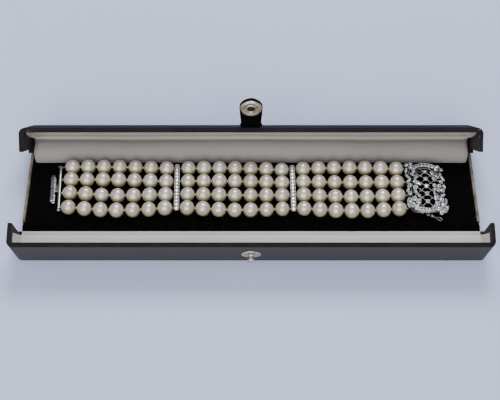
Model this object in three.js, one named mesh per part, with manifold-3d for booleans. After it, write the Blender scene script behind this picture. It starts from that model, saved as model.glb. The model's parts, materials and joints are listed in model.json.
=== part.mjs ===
// A four-strand pearl bracelet lying open on the velvet tray of its presentation case.
// The case has two long doors, each a side wall with half of the top, hinged along the base.
// Millimetres, +Z up, +X along the bracelet, origin at the middle of the case's underside.
import * as THREE from 'three';
import { mergeVertices } from 'three/addons/utils/BufferGeometryUtils.js';
import Module from 'manifold-3d';

// The case
const CASE_HALF_LENGTH = 110.8;
const HINGE_Y = 22.5;
const HINGE_Z = 3.2;
const BASE_HALF_LENGTH = 108.6;
const BASE_HALF_DEPTH = 22.2;
const TRAY_HALF_DEPTH = 19.7;
const BASE_BOARD = 2.8;
const END_BOARD_TOP = 5.5;
const LIP_INNER = 107.2;
const LIP_OUTER = 108.5;
const LIP_TOP = 7.1;
const EDGING = { bottom: 7.4, top: 8.3 };
const PAD = { halfLength: 106.9, bottom: 3.1, top: 7.0 };

// How far a cutting shape runs past what it cuts
const OVERCUT = 1;

// A door in its own section: u runs inward from the hinge, w runs up when the case is shut
const DOOR_RISE = 14.2;
const DOOR_REACH = 22.3;
const DOOR_WALL = 1.6;
const RIM = { thick: 2.3, depth: 2.5 };
const CHEEK = 1.9;
const CHEEK_BOTTOM = 2.6;
const DOOR_CORNER = 3.0;
const LINING = { gap: 0.3, endGap: 1.0, side: 0.7, top: 0.8, foot: 3.0 };
const SATIN_ROLL = { from: 14.3, to: 19.3, bottom: 7.3, height: 4.0, halfLength: 106.4 };
const FRONT_OPEN = 102.5;
const REAR_OPEN = 51;

// The leather closing tab and its press stud
const TAB = { width: 11.0, thick: 1.6, root: 8, length: 16.6, lean: 51, socketAt: 10.6 };
const SOCKET = { radius: 5.2, hole: 1.9, thick: 1.0 };
const STUD = {
  plateRadius: 4.7, plateThick: 0.7, neckRadius: 1.5, knobRadius: 1.9, knobFrom: 2.5, crownRadius: 1.3,
  knobLength: 3.4, fromSplit: 10.2,
};

// The bracelet
const BRACELET_Y = -2.7;
const PEARL = {
  radius: 3.5, centreZ: 10.65, perSection: 7, threadRadius: 0.45, sides: 7, turns: [50, 90, 130],
};
const SECTIONS = [
  // first and last pearl along X; each row's place across at both ends, and its bow between them
  { name: 'left', first: -86.8, last: -40.9, rows: [
    { start: 12.2, end: 11.3, bow: 0.4 }, { start: 4.9, end: 3.8, bow: 0.4 },
    { start: -2.5, end: -3.6, bow: -1.0 }, { start: -10.6, end: -11.1, bow: -1.4 } ] },
  { name: 'middle', first: -30.4, last: 14.9, rows: [
    { start: 11.4, end: 10.5, bow: 0.5 }, { start: 4.0, end: 3.1, bow: 0.4 },
    { start: -3.4, end: -4.1, bow: -0.1 }, { start: -10.9, end: -11.5, bow: -0.9 } ] },
  { name: 'right', first: 25.2, last: 70.4, rows: [
    { start: 11.0, end: 11.0, bow: 0.7 }, { start: 3.6, end: 3.4, bow: -0.2 },
    { start: -3.8, end: -4.1, bow: -0.9 }, { start: -11.3, end: -11.5, bow: -1.2 } ] },
];
const SPACER = { width: 2.5, length: 24.4, height: 2.4, corner: 1.2 };
const SPACERS = [
  { name: 'spacer_bar_left', x: -35.6, y: 0.1, turn: 1.0 },
  { name: 'spacer_bar_right', x: 20.1, y: -0.4, turn: 0.6 },
];
const END_BAR = { x: -92.1, y: 0.9, turn: 2.6, radius: 0.8, length: 24.6, z: 9.6 };
const TONGUE = { width: 14.7, sheet: 0.5, tip: -4.6, fold: 2.3, lowerZ: 7.6, upperZ: 9.4 };
const TONGUE_NECK = { width: 4.0, thick: 0.6, end: -0.3 };

// The clasp, in its own plan: u along the bracelet, v across it
const CLASP = { x: 83.9, y: -2.9, halfLength: 9.6, halfWidth: 13.9, edgeZ: 11.7, crownZ: 13.3, fallEnd: 1.2 };
const GALLERY = { halfLength: 8.2, halfWidth: 11.6, wall: 0.9, bottom: 7.3, top: 11.2, corner: 2.5 };
const RAIL = { inner: 5.8, outer: 7.6, halfLength: 11, bottom: 10.3, top: 12.3 };
const COLLET = { radius: 1.2, foot: 0.96, height: 1.5, sides: 6 };
const LEAF = { long: 1.9, wide: 1.15, thick: 1.3 };
const LATTICE = { step: 4.15, reach: 6.9, endReach: 11.7, slope: 0.85, thick: 0.55, deep: 0.88, below: 1.05 };
const CENTRE_STONES = [-8.3, -4.15, 0, 4.15, 8.3];
const CORNERS = [
  // trefoils of stones at the four corners of the wreath
  { u: -7.0, v: 12.1, radius: 1.5 }, { u: 6.4, v: 11.2, radius: 1.6 },
  { u: -6.9, v: -11.0, radius: 1.7 }, { u: 6.6, v: -11.6, radius: 2.0 },
];
// stones on a corner's plate: their turns about it, their distance out and scale per millimetre of plate
const TREFOIL = { turns: [90, 210, 330], out: 0.75, scale: 0.58, plate: 0.8, below: 0.9 };
const GARLAND = [
  // leaves along one side of the wreath: place, and turn from the bracelet's length
  { u: 8.3, v: 7.4, turn: 60 }, { u: 5.3, v: 6.6, turn: 120 }, { u: 8.5, v: 4.0, turn: 45 },
  { u: 5.1, v: 3.4, turn: 115 }, { u: 8.6, v: 0.6, turn: 60 }, { u: 5.0, v: 0.2, turn: 90 },
  { u: 8.4, v: -2.8, turn: 120 }, { u: 5.2, v: -3.1, turn: 70 }, { u: 8.4, v: -6.2, turn: 130 },
  { u: 5.4, v: -6.5, turn: 60 },
];
const ARCH = { from: 10.4, radius: 7.2, rise: 2.6, wide: 2.2, deep: 1.5, below: 1.05, segments: 6 };
const PIVOT = { u: 0.3, v: -13.3, pin: 0.35, bore: 0.7, barrel: 1.1, lug: 1.3, lugPast: 0.56, play: 0.3 };
const CATCH = {
  bottom: 7.7, top: 9.8, reach: 7.0, loop: 1.15, wire: 0.45, longer: 1.35, lower: 0.8, waist: 0.72, open: -26,
};

const wasm = await Module();
wasm.setup();

const radians = THREE.MathUtils.degToRad;

// Turns a section drawn in X and Y, and carried along Z, to Y and Z, carried along X.
const ALONG_X = new THREE.Matrix4().set(0, 0, 1, 0, 1, 0, 0, 0, 0, 1, 0, 0, 0, 0, 0, 1);

const finishes = {
  leather: { color: 0x2b2a30, roughness: 0.55, metalness: 0 },
  velvet: { color: 0x060607, roughness: 1.0, metalness: 0 },
  satin: { color: 0xcfd0cc, roughness: 0.45, metalness: 0 },
  card: { color: 0xb8ab8c, roughness: 0.8, metalness: 0 },
  nickel: { color: 0xb9aea0, roughness: 0.3, metalness: 1 },
  pearl: { color: 0xe6dcc8, roughness: 0.25, metalness: 0 },
  whiteGold: { color: 0xd4d4d2, roughness: 0.25, metalness: 1 },
};

function piece(name, finish, geometry) {
  const mesh = new THREE.Mesh(geometry, new THREE.MeshStandardMaterial(finishes[finish]));
  mesh.name = name;
  return mesh;
}

// A closed geometry as a solid that can be joined or cut.
function solid(geometry) {
  const plain = geometry.clone();
  plain.deleteAttribute('normal');
  plain.deleteAttribute('uv');
  const merged = mergeVertices(plain, 1e-4);
  return new wasm.Manifold(new wasm.Mesh({
    numProp: 3,
    vertProperties: new Float32Array(merged.attributes.position.array),
    triVerts: new Uint32Array(merged.index.array),
  }));
}

function joined(geometries) {
  return geometries.map(solid).reduce((whole, part) => whole.add(part));
}

function geometryOf(manifold) {
  const mesh = manifold.getMesh();
  const geometry = new THREE.BufferGeometry();
  geometry.setAttribute('position', new THREE.BufferAttribute(new Float32Array(mesh.vertProperties), 3));
  geometry.setIndex(new THREE.BufferAttribute(new Uint32Array(mesh.triVerts), 1));
  return geometry;
}

function inOrder(...values) {
  return values.sort((a, b) => a - b);
}

// A box between two corners.
function block(low, high) {
  const size = high.map((value, axis) => value - low[axis]);
  const geometry = new THREE.BoxGeometry(...size);
  return geometry.translate(...low.map((value, axis) => value + size[axis] / 2));
}

// A rectangle with rounded corners: halfWidth and halfHeight about the origin.
function roundedRectangle(halfWidth, halfHeight, corner) {
  const shape = new THREE.Shape();
  const quarter = Math.PI / 2;
  const [w, h] = [halfWidth - corner, halfHeight - corner];
  shape.absarc(w, h, corner, 0, quarter);
  shape.absarc(-w, h, corner, quarter, 2 * quarter);
  shape.absarc(-w, -h, corner, 2 * quarter, 3 * quarter);
  shape.absarc(w, -h, corner, 3 * quarter, 4 * quarter);
  return shape;
}

function slab(shape, thickness, curveSegments) {
  return new THREE.ExtrudeGeometry(shape, { depth: thickness, bevelEnabled: false, curveSegments });
}

// A plan shape raised between two heights.
function raised(shape, bottom, top, curveSegments = 2) {
  return slab(shape, top - bottom, curveSegments).translate(0, 0, bottom);
}

// ---- The base: a board with a low end wall at each end, a lip, card edging and a velvet pad

function caseBase() {
  const corner = [BASE_HALF_LENGTH, BASE_HALF_DEPTH];
  const parts = [block([-corner[0], -corner[1], 0], [...corner, BASE_BOARD])];
  for (const side of [-1, 1]) {
    const wall = inOrder(side * LIP_INNER, side * BASE_HALF_LENGTH);
    const lip = inOrder(side * LIP_INNER, side * LIP_OUTER);
    parts.push(block([wall[0], -TRAY_HALF_DEPTH, BASE_BOARD / 2], [wall[1], TRAY_HALF_DEPTH, END_BOARD_TOP]));
    parts.push(block([lip[0], -TRAY_HALF_DEPTH, BASE_BOARD / 2], [lip[1], TRAY_HALF_DEPTH, LIP_TOP]));
  }
  return piece('case_base', 'leather', geometryOf(joined(parts)));
}

function trayEdging(name, side) {
  const [low, high] = inOrder(side * LIP_INNER, side * LIP_OUTER);
  const strip = block([low, -TRAY_HALF_DEPTH, EDGING.bottom], [high, TRAY_HALF_DEPTH, EDGING.top]);
  return piece(name, 'card', strip);
}

function velvetPad() {
  const low = [-PAD.halfLength, -TRAY_HALF_DEPTH, PAD.bottom];
  const high = [PAD.halfLength, TRAY_HALF_DEPTH, PAD.top];
  return piece('velvet_pad', 'velvet', block(low, high));
}

// The slack of the rear door's satin, which lies in a soft roll along the back of the tray.
function satinRoll() {
  const { from, to, bottom, height, halfLength } = SATIN_ROLL;
  const half = (to - from) / 2;
  const section = new THREE.Shape().absellipse(0, 0, half, height, 0, Math.PI);
  const geometry = slab(section, 2 * halfLength, 4).translate(0, 0, -halfLength);
  geometry.applyMatrix4(ALONG_X).translate(0, from + half, bottom);
  return piece('rear_satin_roll', 'satin', geometry);
}

// ---- The doors, made shut: in a door's own frame -Y is its hinge side and +Y runs inward

// The hood of a door: a length section with rounded upper corners, carried inward and hollowed.
function doorShell(name) {
  const hood = (halfLength, bottom, top, corner, from, to) => {
    const shape = new THREE.Shape();
    shape.moveTo(-halfLength, bottom);
    shape.lineTo(halfLength, bottom);
    shape.absarc(halfLength - corner, top - corner, corner, 0, Math.PI / 2);
    shape.absarc(-halfLength + corner, top - corner, corner, Math.PI / 2, Math.PI);
    return slab(shape, to - from, 4).rotateX(Math.PI / 2).translate(0, to, 0);
  };
  const outer = hood(CASE_HALF_LENGTH, LINING.gap, DOOR_RISE, DOOR_CORNER, 0, DOOR_REACH);
  const hollow = (thick, to) => solid(
    hood(CASE_HALF_LENGTH - CHEEK, -OVERCUT, DOOR_RISE - thick, DOOR_CORNER - DOOR_WALL, DOOR_WALL, to));
  const underCheeks = block([-CASE_HALF_LENGTH - OVERCUT, DOOR_WALL, -OVERCUT],
    [CASE_HALF_LENGTH + OVERCUT, DOOR_REACH + OVERCUT, CHEEK_BOTTOM]);
  // the half top is thicker along its free edge
  const shell = solid(outer)
    .subtract(hollow(RIM.thick, DOOR_REACH + OVERCUT))
    .subtract(hollow(DOOR_WALL, DOOR_REACH - RIM.depth))
    .subtract(solid(underCheeks));
  return piece(name, 'leather', geometryOf(shell));
}

// The satin: a thin pad up the side wall and under the half top.
function doorLining(name) {
  const side = DOOR_WALL + LINING.gap;
  const top = DOOR_RISE - DOOR_WALL - LINING.gap;
  const end = DOOR_REACH - RIM.depth - LINING.gap;
  const section = new THREE.Shape([
    [side, LINING.foot], [side + LINING.side, LINING.foot], [side + LINING.side, top - LINING.top],
    [end, top - LINING.top], [end, top], [side, top],
  ].map(([y, z]) => new THREE.Vector2(y, z)));
  const halfLength = CASE_HALF_LENGTH - CHEEK - LINING.endGap;
  const geometry = slab(section, 2 * halfLength, 1).translate(0, 0, -halfLength);
  geometry.applyMatrix4(ALONG_X);
  return piece(name, 'satin', geometry);
}

// The tab: a root flat on the half top, and a tongue with a round end that stands off it.
function closingTab() {
  const foot = DOOR_RISE + LINING.gap;
  const outline = new THREE.Shape();
  const half = TAB.width / 2;
  const root = block([-half, DOOR_REACH - TAB.root, foot], [half, DOOR_REACH, foot + TAB.thick]);
  outline.moveTo(-half, 0);
  outline.lineTo(half, 0);
  outline.absarc(0, TAB.length - half, half, 0, Math.PI);
  const tongue = slab(outline, TAB.thick, 5).rotateX(radians(TAB.lean));
  tongue.translate(0, DOOR_REACH, foot);
  return piece('closing_tab', 'leather', geometryOf(joined([root, tongue])));
}

// A place on the tab's inner face, at a distance from the root along the tongue.
function onTab(object, along) {
  const lean = radians(TAB.lean);
  object.rotation.x = lean;
  object.position.y = DOOR_REACH + along * Math.cos(lean) + LINING.gap * Math.sin(lean);
  object.position.z = DOOR_RISE + LINING.gap + along * Math.sin(lean) - LINING.gap * Math.cos(lean);
  return object;
}

function studSocket() {
  const ring = new THREE.Shape().absarc(0, 0, SOCKET.radius, 0, 2 * Math.PI);
  ring.holes.push(new THREE.Path().absarc(0, 0, SOCKET.hole, 0, 2 * Math.PI, true));
  const geometry = slab(ring, SOCKET.thick, 10).translate(0, 0, -SOCKET.thick);
  return onTab(piece('press_stud_socket', 'nickel', geometry), TAB.socketAt);
}

function studPost() {
  const { plateRadius, plateThick, neckRadius, knobRadius, knobFrom, crownRadius, knobLength } = STUD;
  const profile = [
    [0, 0], [plateRadius, 0], [plateRadius, plateThick], [neckRadius, plateThick],
    [knobRadius, knobFrom], [crownRadius, knobLength], [0, knobLength],
  ].map(([radius, height]) => new THREE.Vector2(radius, height));
  const mesh = piece('press_stud_post', 'nickel', new THREE.LatheGeometry(profile, 12).rotateX(Math.PI / 2));
  mesh.position.set(0, DOOR_REACH - STUD.fromSplit, DOOR_RISE + LINING.gap);
  return mesh;
}

// A door turned open about its hinge line; facing is 1 for the front door and -1 for the rear one.
function door(facing, openDegrees, pieces) {
  const leaf = new THREE.Group();
  leaf.add(...pieces);
  leaf.rotation.x = radians(openDegrees);
  const side = new THREE.Group();
  side.add(leaf);
  side.position.set(0, -facing * HINGE_Y, HINGE_Z);
  side.rotation.z = facing > 0 ? 0 : Math.PI;
  return side;
}

// ---- The strands

// Pearls on their thread, as one turned profile laid along X and bowed sideways.
function strand(name, section, row) {
  const { radius, perSection, threadRadius, sides } = PEARL;
  const pitch = (section.last - section.first) / (perSection - 1);
  const neck = Math.asin(threadRadius / radius);
  const profile = [new THREE.Vector2(0, section.first - radius)];
  for (let pearl = 0; pearl < perSection; pearl += 1) {
    const centre = section.first + pearl * pitch;
    const turns = PEARL.turns.map(radians);
    if (pearl > 0) turns.unshift(neck);
    if (pearl < perSection - 1) turns.push(Math.PI - neck);
    for (const turn of turns) {
      profile.push(new THREE.Vector2(radius * Math.sin(turn), centre - radius * Math.cos(turn)));
    }
  }
  profile.push(new THREE.Vector2(0, section.last + radius));
  // the profile turns about Y, which then becomes X
  const geometry = new THREE.LatheGeometry(profile, sides).rotateZ(-Math.PI / 2);
  const place = geometry.attributes.position;
  for (let i = 0; i < place.count; i += 1) {
    const along = (place.getX(i) - section.first) / (section.last - section.first);
    const across = THREE.MathUtils.lerp(row.start, row.end, along) + row.bow * Math.sin(Math.PI * along);
    place.setY(i, place.getY(i) + across);
  }
  const mesh = piece(name, 'pearl', geometry);
  mesh.position.set(0, BRACELET_Y, PEARL.centreZ);
  return mesh;
}

function strands() {
  return SECTIONS.flatMap((section) => section.rows.map(
    (row, index) => strand(`strand_${index + 1}_${section.name}`, section, row)));
}

function spacerBar({ name, x, y, turn }) {
  const half = SPACER.width / 2;
  const shape = roundedRectangle(half, SPACER.length / 2, SPACER.corner);
  const mesh = piece(name, 'whiteGold', raised(shape, -SPACER.height / 2, SPACER.height / 2, 3));
  mesh.position.set(x, BRACELET_Y + y, PEARL.centreZ);
  mesh.rotation.z = radians(turn);
  return mesh;
}

// The end bar with the folded spring tongue, soldered together: sheet carried along Y.
function claspTongue() {
  const bar = new THREE.CylinderGeometry(END_BAR.radius, END_BAR.radius, END_BAR.length, 8);
  const z = END_BAR.z;
  const leaf = (from, to, bottom, top, width) =>
    block([from, -width / 2, bottom - z], [to, width / 2, top - z]);
  const tipX = TONGUE.tip;
  const parts = [
    bar,
    leaf(tipX, tipX + TONGUE.fold, TONGUE.lowerZ, TONGUE.lowerZ + TONGUE.sheet, TONGUE.width),
    leaf(tipX, tipX + TONGUE.sheet, TONGUE.lowerZ, TONGUE.upperZ, TONGUE.width),
    leaf(tipX, tipX + TONGUE.fold, TONGUE.upperZ - TONGUE.sheet, TONGUE.upperZ, TONGUE.width),
    leaf(tipX, TONGUE_NECK.end, TONGUE.upperZ - TONGUE_NECK.thick, TONGUE.upperZ, TONGUE_NECK.width),
  ];
  const mesh = piece('clasp_tongue', 'whiteGold', geometryOf(joined(parts)));
  mesh.position.set(END_BAR.x, BRACELET_Y + END_BAR.y, z);
  mesh.rotation.z = radians(END_BAR.turn);
  return mesh;
}

// ---- The clasp

// Height of the crown's top over the plan: highest in the middle, lower at the rim.
function crownAt(u, v) {
  const fall = (u / CLASP.halfLength) ** 2 + (v / CLASP.halfWidth) ** 2;
  return CLASP.crownZ - (CLASP.crownZ - CLASP.edgeZ) * Math.min(fall, CLASP.fallEnd) / CLASP.fallEnd;
}

function collet(u, v, scale = 1) {
  const [top, foot] = [COLLET.radius * scale, COLLET.foot * scale];
  const geometry = new THREE.CylinderGeometry(top, foot, COLLET.height, COLLET.sides);
  return geometry.rotateX(Math.PI / 2).translate(u, v, crownAt(u, v) - COLLET.height / 2);
}

function leaf(u, v, turn) {
  const geometry = new THREE.OctahedronGeometry(1).scale(LEAF.long, LEAF.wide, LEAF.thick);
  return geometry.rotateZ(radians(turn)).translate(u, v, crownAt(u, v) - LEAF.thick);
}

// A straight wire of square section between two points of the plan, following the crown.
function wire(u1, v1, u2, v2) {
  const length = Math.hypot(u2 - u1, v2 - v1);
  const geometry = new THREE.BoxGeometry(length, LATTICE.thick, LATTICE.deep);
  const middle = [(u1 + u2) / 2, (v1 + v2) / 2];
  geometry.rotateZ(Math.atan2(v2 - v1, u2 - u1));
  return geometry.translate(middle[0], middle[1], crownAt(...middle) - LATTICE.below);
}

// The diagonal lattice: wires that cross at the middle stones and run out to the rails on both sides.
function lattice() {
  const { step, reach, slope } = LATTICE;
  const wires = [];
  for (let row = -2; row <= 2; row += 1) {
    for (const way of [-1, 1]) {
      const inside = [-reach, reach].map((u) => {
        const limit = (LATTICE.endReach + way * Math.sign(u) * -row * step) / slope;
        return Math.sign(u) * Math.min(Math.abs(u), limit);
      });
      const ends = inside.map((u) => [u, row * step + way * slope * u]);
      if (ends[1][0] - ends[0][0] > step) wires.push(wire(...ends[0], ...ends[1]));
    }
  }
  return wires;
}

// A bowed bar over each end of the lattice.
function arch(way) {
  const points = [];
  for (let i = 0; i <= ARCH.segments; i += 1) {
    const u = THREE.MathUtils.lerp(-ARCH.radius, ARCH.radius, i / ARCH.segments);
    const v = way * (ARCH.from + ARCH.rise * (1 - (u / ARCH.radius) ** 2));
    points.push(new THREE.Vector3(u, v, crownAt(u, v) - ARCH.below));
  }
  const half = { wide: ARCH.wide / 2, deep: ARCH.deep / 2 };
  const section = new THREE.Shape([
    [-half.deep, -half.wide], [half.deep, -half.wide], [half.deep, half.wide], [-half.deep, half.wide],
  ].map(([a, b]) => new THREE.Vector2(a, b)));
  const path = new THREE.CatmullRomCurve3(points);
  return new THREE.ExtrudeGeometry(section, { steps: ARCH.segments, extrudePath: path, bevelEnabled: false });
}

// The gallery: an upright band under the wreath, open above and below, with the catch's lugs and pin.
function gallery() {
  const outer = roundedRectangle(GALLERY.halfLength, GALLERY.halfWidth, GALLERY.corner);
  const wall = GALLERY.wall;
  const inner = roundedRectangle(GALLERY.halfLength - wall, GALLERY.halfWidth - wall, GALLERY.corner - wall);
  const band = solid(raised(outer, GALLERY.bottom, GALLERY.top))
    .subtract(solid(raised(inner, GALLERY.bottom - OVERCUT, GALLERY.top + OVERCUT)));
  const lug = (bottom, top) => block(
    [PIVOT.u - PIVOT.lug / 2, PIVOT.v - PIVOT.lugPast, bottom],
    [PIVOT.u + PIVOT.lug / 2, -GALLERY.halfWidth + wall / 2, top]);
  const pinLength = GALLERY.top - GALLERY.bottom - PIVOT.play;
  const pin = new THREE.CylinderGeometry(PIVOT.pin, PIVOT.pin, pinLength, 8)
    .rotateX(Math.PI / 2).translate(PIVOT.u, PIVOT.v, (GALLERY.top + GALLERY.bottom) / 2);
  const lower = lug(GALLERY.bottom, CATCH.bottom - PIVOT.play);
  const upper = lug(CATCH.top + PIVOT.play, GALLERY.top);
  return band.add(joined([lower, upper, pin]));
}

function claspFrame() {
  const parts = [arch(1), arch(-1), ...lattice()];
  for (const v of CENTRE_STONES) parts.push(collet(0, v));
  for (const side of [-1, 1]) {
    for (const { u, v, turn } of GARLAND) parts.push(leaf(side * u, v, side * turn));
  }
  for (const { u, v, radius } of CORNERS) {
    parts.push(new THREE.CylinderGeometry(radius, radius, TREFOIL.plate, COLLET.sides)
      .rotateX(Math.PI / 2).translate(u, v, crownAt(u, v) - TREFOIL.below));
    for (const turn of TREFOIL.turns) {
      const offset = radius * TREFOIL.out;
      const [du, dv] = [offset * Math.cos(radians(turn)), offset * Math.sin(radians(turn))];
      parts.push(collet(u + du, v + dv, radius * TREFOIL.scale));
    }
  }
  // the rails that the garlands are soldered to
  for (const side of [-1, 1]) {
    const rail = inOrder(side * RAIL.inner, side * RAIL.outer);
    parts.push(block([rail[0], -RAIL.halfLength, RAIL.bottom], [rail[1], RAIL.halfLength, RAIL.top]));
  }
  const whole = joined(parts).add(gallery());
  const mesh = piece('clasp_frame', 'whiteGold', geometryOf(whole));
  mesh.position.set(CLASP.x, CLASP.y, 0);
  return mesh;
}

// The safety catch: a barrel on the pin and a wire figure-of-eight standing on edge.
function safetyCatch() {
  const middle = (CATCH.top + CATCH.bottom) / 2;
  const height = CATCH.top - CATCH.bottom;
  const barrel = new THREE.CylinderGeometry(PIVOT.barrel, PIVOT.barrel, height, 8).rotateX(Math.PI / 2);
  const bore = new THREE.CylinderGeometry(PIVOT.bore, PIVOT.bore, height + OVERCUT, 8).rotateX(Math.PI / 2);
  const loops = [];
  for (const along of [PIVOT.barrel + CATCH.loop, CATCH.reach - CATCH.loop]) {
    const ring = new THREE.TorusGeometry(CATCH.loop - CATCH.wire / 2, CATCH.wire, 4, 8).rotateX(Math.PI / 2);
    loops.push(ring.scale(CATCH.longer, 1, CATCH.lower).translate(along, 0, 0));
  }
  const waistLength = CATCH.reach - PIVOT.barrel - 3 * CATCH.loop;
  const waist = new THREE.BoxGeometry(waistLength, CATCH.waist, CATCH.waist)
    .translate((CATCH.reach + PIVOT.barrel) / 2, 0, 0);
  const whole = solid(barrel).subtract(solid(bore)).add(joined([...loops, waist]).subtract(solid(bore)));
  const mesh = piece('safety_catch', 'whiteGold', geometryOf(whole));
  mesh.position.set(CLASP.x + PIVOT.u, CLASP.y + PIVOT.v, middle);
  mesh.rotation.z = radians(CATCH.open);
  return mesh;
}

const part = new THREE.Group();
part.add(caseBase(), velvetPad(), satinRoll());
part.add(trayEdging('tray_edging_left', -1), trayEdging('tray_edging_right', 1));
part.add(door(1, FRONT_OPEN, [doorShell('front_door_shell'), doorLining('front_door_lining'), studPost()]));
part.add(door(-1, REAR_OPEN, [
  doorShell('rear_door_shell'), doorLining('rear_door_lining'), closingTab(), studSocket(),
]));
part.add(...strands(), ...SPACERS.map(spacerBar), claspTongue(), claspFrame(), safetyCatch());
export default part;
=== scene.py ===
import json
import math
import bpy
import bmesh
import numpy as np
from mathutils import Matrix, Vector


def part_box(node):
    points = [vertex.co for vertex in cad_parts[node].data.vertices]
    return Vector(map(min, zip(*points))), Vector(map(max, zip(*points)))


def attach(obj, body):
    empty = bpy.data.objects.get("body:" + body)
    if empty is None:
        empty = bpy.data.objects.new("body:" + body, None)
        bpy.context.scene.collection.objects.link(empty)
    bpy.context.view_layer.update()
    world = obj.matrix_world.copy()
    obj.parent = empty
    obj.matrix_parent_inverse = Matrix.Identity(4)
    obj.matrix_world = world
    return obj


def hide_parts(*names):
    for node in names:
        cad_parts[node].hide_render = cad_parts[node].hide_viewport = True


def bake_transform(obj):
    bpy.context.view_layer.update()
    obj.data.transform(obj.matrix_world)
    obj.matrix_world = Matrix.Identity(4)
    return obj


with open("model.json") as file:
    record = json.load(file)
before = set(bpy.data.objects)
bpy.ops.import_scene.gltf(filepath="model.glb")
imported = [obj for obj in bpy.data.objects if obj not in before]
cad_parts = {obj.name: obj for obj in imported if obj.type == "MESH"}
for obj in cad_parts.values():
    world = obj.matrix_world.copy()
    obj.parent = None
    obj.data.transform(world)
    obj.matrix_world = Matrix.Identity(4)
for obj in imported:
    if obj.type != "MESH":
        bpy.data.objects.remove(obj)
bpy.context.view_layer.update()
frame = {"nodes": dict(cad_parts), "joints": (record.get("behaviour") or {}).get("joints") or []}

MM = 0.001

# --------------
# Camera, floor and light: a pale table under three soft lamps. A small one behind the case puts
# a highlight near each pearl's top; two broad ones, above and in front, fill the near sides.
CAMERA_RISE = math.radians(58.6)
CAMERA_DISTANCE = 0.481
LOOKS_AT = np.array([-0.0005, -0.0093, 0.0106])
IMAGE_WIDTH_PX = 500
FOCAL_PX = 1008
SENSOR_MM = 36


def added(name, data):
    """A new object made from its data and put in the scene."""
    made = bpy.data.objects.new(name, data)
    bpy.context.scene.collection.objects.link(made)
    return made


camera = bpy.data.cameras.new("camera")
camera.sensor_width = SENSOR_MM
camera.lens = FOCAL_PX / IMAGE_WIDTH_PX * SENSOR_MM
camera.clip_start = 0.01
camera_object = added("camera", camera)
away = np.array([0, -math.cos(CAMERA_RISE), math.sin(CAMERA_RISE)])
camera_object.location = LOOKS_AT + CAMERA_DISTANCE * away
camera_object.rotation_euler = (math.pi / 2 - CAMERA_RISE, 0, 0)
bpy.context.scene.camera = camera_object


def soft_lamp(name, place, size, power, colour):
    """A square area lamp that looks at the middle of the case."""
    lamp = bpy.data.lights.new(name, "AREA")
    lamp.size = size
    lamp.energy = power
    lamp.color = colour
    holder = added(name, lamp)
    holder.location = place
    x, y, z = place
    holder.rotation_euler = (math.atan2(math.hypot(x, y), z), 0, math.atan2(x, -y))


soft_lamp("lamp_behind", (0.05, 0.42, 0.68), 0.34, 4.3, (1.0, 0.99, 0.97))
soft_lamp("lamp_above", (-0.05, -0.50, 0.80), 1.0, 3.9, (1.0, 0.985, 0.96))
soft_lamp("lamp_front", (-0.15, -0.92, 0.42), 1.2, 11.0, (1.0, 0.97, 0.94))
world = bpy.data.worlds.new("room")
world.use_nodes = True
world.node_tree.nodes["Background"].inputs["Color"].default_value = (0.82, 0.87, 1.0, 1)
world.node_tree.nodes["Background"].inputs["Strength"].default_value = 0.40
bpy.context.scene.world = world


def material(name, colour, roughness, metallic=0.0, **sockets):
    """A named material: its shader's own sockets are set to constants; patterns are added after."""
    made = bpy.data.materials.new(name)
    made.use_nodes = True
    shader = made.node_tree.nodes["Principled BSDF"]
    shader.inputs["Base Color"].default_value = (*colour, 1)
    shader.inputs["Roughness"].default_value = roughness
    shader.inputs["Metallic"].default_value = metallic
    for socket, value in sockets.items():
        shader.inputs[socket.replace("_", " ")].default_value = value
    return made


def worked(made, kind, inputs, result, **settings):
    """One more node in a material. Each input is a constant or another node's output; returns the
    output with the given name."""
    node = made.node_tree.nodes.new("ShaderNode" + kind)
    for label, value in settings.items():
        setattr(node, label, value)
    for socket, value in inputs.items():
        if isinstance(value, bpy.types.NodeSocket):
            made.node_tree.links.new(value, node.inputs[socket])
        else:
            node.inputs[socket].default_value = value
    return node.outputs[result]


def feed(made, socket, source):
    """Links an output to one of the shader's own sockets."""
    made.node_tree.links.new(source, made.node_tree.nodes["Principled BSDF"].inputs[socket])


def pattern(made, kind, scale, stretch=(1, 1, 1), detail=3.0):
    """A noise, voronoi or wave pattern on object coordinates; returns its value."""
    where = worked(made, "TexCoord", {}, "Object")
    where = worked(made, "Mapping", {"Vector": where, "Scale": stretch}, "Vector")
    inputs = {"Vector": where, "Scale": scale}
    if kind == "noise":
        inputs["Detail"] = detail
    return worked(made, "Tex" + kind.title(), inputs, "Distance" if kind == "voronoi" else "Fac")


def ramp(made, source, stops):
    """A colour from a number: straight lines between stops of (position, colour)."""
    node = made.node_tree.nodes.new("ShaderNodeValToRGB")
    while len(node.color_ramp.elements) < len(stops):
        node.color_ramp.elements.new(0.5)
    for element, (position, colour) in zip(node.color_ramp.elements, stops):
        element.position = position
        element.color = (*colour, 1)
    made.node_tree.links.new(source, node.inputs["Fac"])
    return node.outputs["Color"]


def tint(made, source, dark, light, low=0.3, high=0.7):
    """Base colour from a pattern: a ramp from one colour to another; returns the colour."""
    colour = ramp(made, source, [(low, dark), (high, light)])
    feed(made, "Base Color", colour)
    return colour


def roughen(made, source, low, high):
    """Roughness from a pattern, between two values."""
    limits = {"Value": source, "To Min": low, "To Max": high}
    feed(made, "Roughness", worked(made, "MapRange", limits, "Result"))


def emboss(made, source, height, strength=1.0):
    """A bump of that height in metres, laid over any bump that is there already."""
    inputs = {"Height": source, "Distance": height, "Strength": strength}
    normal = made.node_tree.nodes["Principled BSDF"].inputs["Normal"]
    if normal.is_linked:
        inputs["Normal"] = normal.links[0].from_socket
    feed(made, "Normal", worked(made, "Bump", inputs, "Normal"))


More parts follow.
